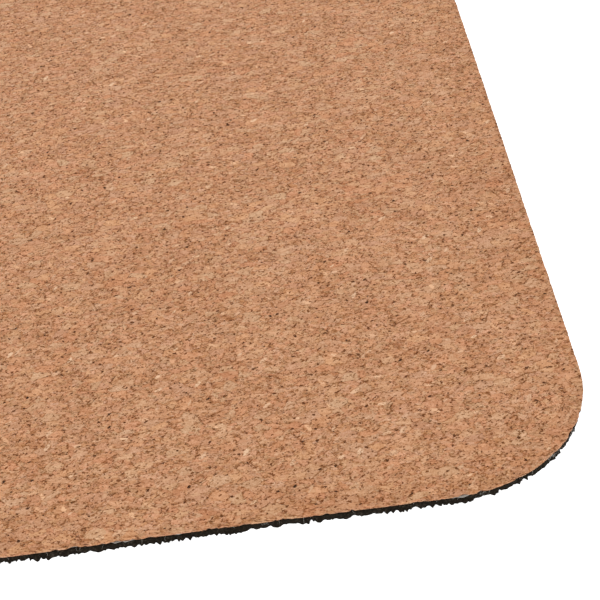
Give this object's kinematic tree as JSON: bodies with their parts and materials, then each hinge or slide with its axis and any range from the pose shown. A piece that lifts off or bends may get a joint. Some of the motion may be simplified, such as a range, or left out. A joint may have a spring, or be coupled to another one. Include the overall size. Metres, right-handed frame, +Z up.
{
  "type": "desk mat",
  "caption": "Flat rectangular desk mat with rounded corners: a cork face sheet on a fabric liner and a black non-slip rubber backing.",
  "frame": {"origin": "centre of the underside, in the plane the mat rests on", "axes": "+X along the long side, +Y towards the back edge, +Z up out of the cork face"},
  "size_m": [0.6, 0.35, 0.002],
  "materials": {
    "black_rubber": "matt black rubber with a rough torn cut edge and a pebbled underside",
    "liner_fabric": "pale undyed non-woven fabric, slightly frayed",
    "cork": "fine-grained pressed cork, sanded matt, with dark bark specks"
  },
  "bodies": {
    "root": {"rubber_backing": "black_rubber", "fabric_liner": "liner_fabric", "cork_face": "cork"}
  },
  "joints": []
}
